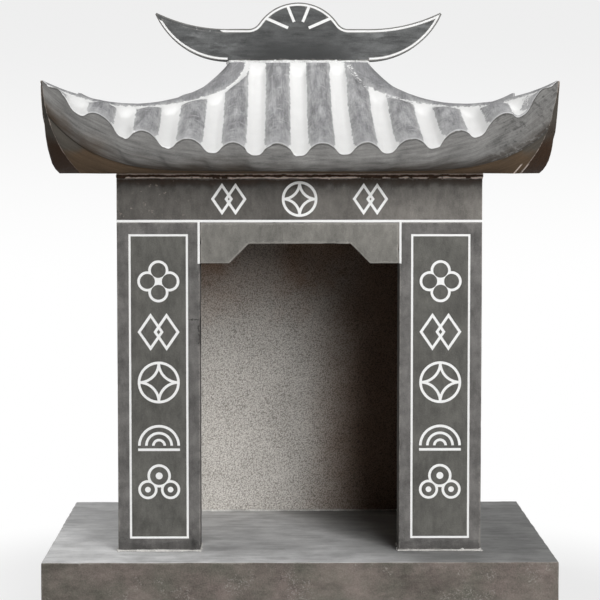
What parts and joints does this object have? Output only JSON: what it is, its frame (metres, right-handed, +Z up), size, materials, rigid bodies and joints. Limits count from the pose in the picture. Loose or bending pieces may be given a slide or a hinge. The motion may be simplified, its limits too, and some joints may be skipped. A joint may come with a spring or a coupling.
{
  "type": "wayside shrine",
  "caption": "Small stone wayside shrine: an open niche of dark slabs on a plinth, under one carved hipped roof stone with upturned corners and a crescent ridge stone.",
  "frame": {"origin": "middle of the plinth's underside", "axes": "+Z up, the open front faces -Y, +X to the right of someone facing the front"},
  "size_m": [0.604, 0.476, 0.7527],
  "materials": {
    "dark_stone": "honed bluestone",
    "plinth_stone": "sawn bluestone",
    "hammered_stone": "bush-hammered bluestone",
    "mortar": "rough cement mortar",
    "white_paint": "matt white paint"
  },
  "bodies": {
    "root": {"back_wall": "hammered_stone", "base_mortar": "mortar", "left_jamb_line": "white_paint", "left_panel_border": "white_paint", "left_panel_four_petals": "white_paint", "left_panel_linked_lozenges": "white_paint", "left_panel_nested_waves": "white_paint", "left_panel_pierced_coin": "white_paint", "left_panel_three_lobed_cloud": "white_paint", "left_pillar": "dark_stone", "left_wall": "dark_stone", "lintel": "dark_stone", "lintel_left_ornament": "white_paint", "lintel_line": "white_paint", "lintel_middle_ornament": "white_paint", "lintel_right_ornament": "white_paint", "opening_head": "dark_stone", "plinth": "plinth_stone", "ridge_mortar": "mortar", "ridge_outline": "white_paint", "ridge_rays": "white_paint", "ridge_stone": "dark_stone", "right_jamb_line": "white_paint", "right_panel_border": "white_paint", "right_panel_four_petals": "white_paint", "right_panel_linked_lozenges": "white_paint", "right_panel_nested_waves": "white_paint", "right_panel_pierced_coin": "white_paint", "right_panel_three_lobed_cloud": "white_paint", "right_pillar": "dark_stone", "right_wall": "dark_stone", "roof_mortar": "mortar", "roof_stone": "dark_stone"}
  },
  "joints": []
}
